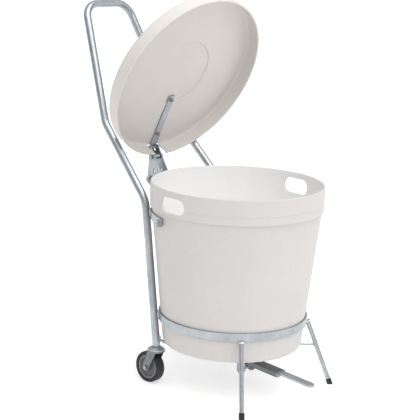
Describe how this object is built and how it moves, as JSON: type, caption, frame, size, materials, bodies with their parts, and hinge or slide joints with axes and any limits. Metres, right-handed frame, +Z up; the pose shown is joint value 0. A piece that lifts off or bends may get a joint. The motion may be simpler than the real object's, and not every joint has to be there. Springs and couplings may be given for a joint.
{
  "type": "pedal lid tub trolley",
  "caption": "Round tapered plastic tub with grip holes in a tubular steel trolley on castors and feet, with a pedal and push rod that open its domed lid.",
  "frame": {"origin": "on the ground, under the middle of the whole object's box", "axes": "+Z up; -Y the front, where the pedal is; +Y the rear, where the push handle is; X along the castor axles"},
  "size_m": [0.5716, 0.941, 1.216],
  "materials": {
    "plastic": "moulded, satin, warm off-white",
    "zinc": "bright zinc plate",
    "bolt": "zinc-plated fastener",
    "tip": "matt black",
    "tyre": "smooth black tread",
    "core": "dark grey nylon"
  },
  "bodies": {
    "cradle": {"handle_tube": "zinc", "lower_hoop": "zinc", "upper_strap": "zinc", "strap_screw_left": "bolt", "front_leg_left": "zinc", "leg_tip_left": "tip", "strap_screw_right": "bolt", "front_leg_right": "zinc", "leg_tip_right": "tip", "cross_rod_upper": "zinc", "cross_rod_lower": "zinc", "pedal_bracket": "zinc", "pedal_bolt": "bolt", "pedal_nut": "bolt", "castor_stem_left": "bolt", "castor_race_left": "zinc", "castor_stem_right": "bolt", "castor_race_right": "zinc", "tub": "plastic", "hinge_bracket": "zinc", "hinge_bolt": "bolt", "hinge_nut": "bolt"},
    "lid": {"lid": "plastic", "lid_arm": "zinc", "swing_plate_left": "zinc", "swing_plate_right": "zinc", "arm_bolt": "bolt", "arm_nut": "bolt", "stop_bolt": "bolt", "stop_nut": "bolt", "lid_bolt_1": "bolt", "lid_bolt_2": "bolt", "lid_nut_1": "bolt", "lid_nut_2": "bolt"},
    "pedal": {"pedal": "zinc", "pedal_lever": "zinc", "pedal_rivet_1": "bolt", "pedal_rivet_2": "bolt", "lower_rod_pin": "bolt", "lower_pin_clip": "bolt"},
    "push_rod": {"push_rod": "zinc", "upper_rod_pin": "bolt"},
    "castor_fork_left": {"fork_left": "zinc", "axle_bolt_left": "bolt", "axle_nut_left": "bolt", "axle_tube_left": "bolt"},
    "castor_wheel_left": {"wheel_core_left": "core", "tyre_left": "tyre"},
    "castor_fork_right": {"fork_right": "zinc", "axle_bolt_right": "bolt", "axle_nut_right": "bolt", "axle_tube_right": "bolt"},
    "castor_wheel_right": {"wheel_core_right": "core", "tyre_right": "tyre"}
  },
  "joints": [
    {"name": "lid_hinge", "type": "hinge", "parent": "cradle", "child": "lid", "pos_m": [0.00657, 0.23547, 0.6], "axis": [-0.999, 0.0436, 0], "range_deg": [-64, 0]},
    {"name": "pedal_pivot", "type": "hinge", "parent": "cradle", "child": "pedal", "pos_m": [-0.00981, -0.20367, 0.064], "axis": [-1, 0, 0], "range_deg": [0, 7.96]},
    {"name": "rod_pivot", "type": "hinge", "parent": "pedal", "child": "push_rod", "pos_m": [0.00336, 0.16197, 0.1314], "axis": [-1, 0, 0], "range_deg": [-8.63, 0]},
    {"name": "castor_swivel_left", "type": "hinge", "parent": "cradle", "child": "castor_fork_left", "pos_m": [-0.19431, 0.01433, 0.1], "axis": [0, 0, 1], "continuous": true},
    {"name": "wheel_spin_left", "type": "hinge", "parent": "castor_fork_left", "child": "castor_wheel_left", "pos_m": [-0.19431, 0.03933, 0.05], "axis": [1, 0, 0], "continuous": true},
    {"name": "castor_swivel_right", "type": "hinge", "parent": "cradle", "child": "castor_fork_right", "pos_m": [0.17469, 0.01433, 0.1], "axis": [0, 0, 1], "continuous": true},
    {"name": "wheel_spin_right", "type": "hinge", "parent": "castor_fork_right", "child": "castor_wheel_right", "pos_m": [0.17469, 0.03933, 0.05], "axis": [1, 0, 0], "continuous": true}
  ],
  "couplings": [
    {"joint": "pedal_pivot", "follows": "lid_hinge", "ratio": -0.12423},
    {"joint": "rod_pivot", "follows": "lid_hinge", "ratio": 0.13474}
  ]
}
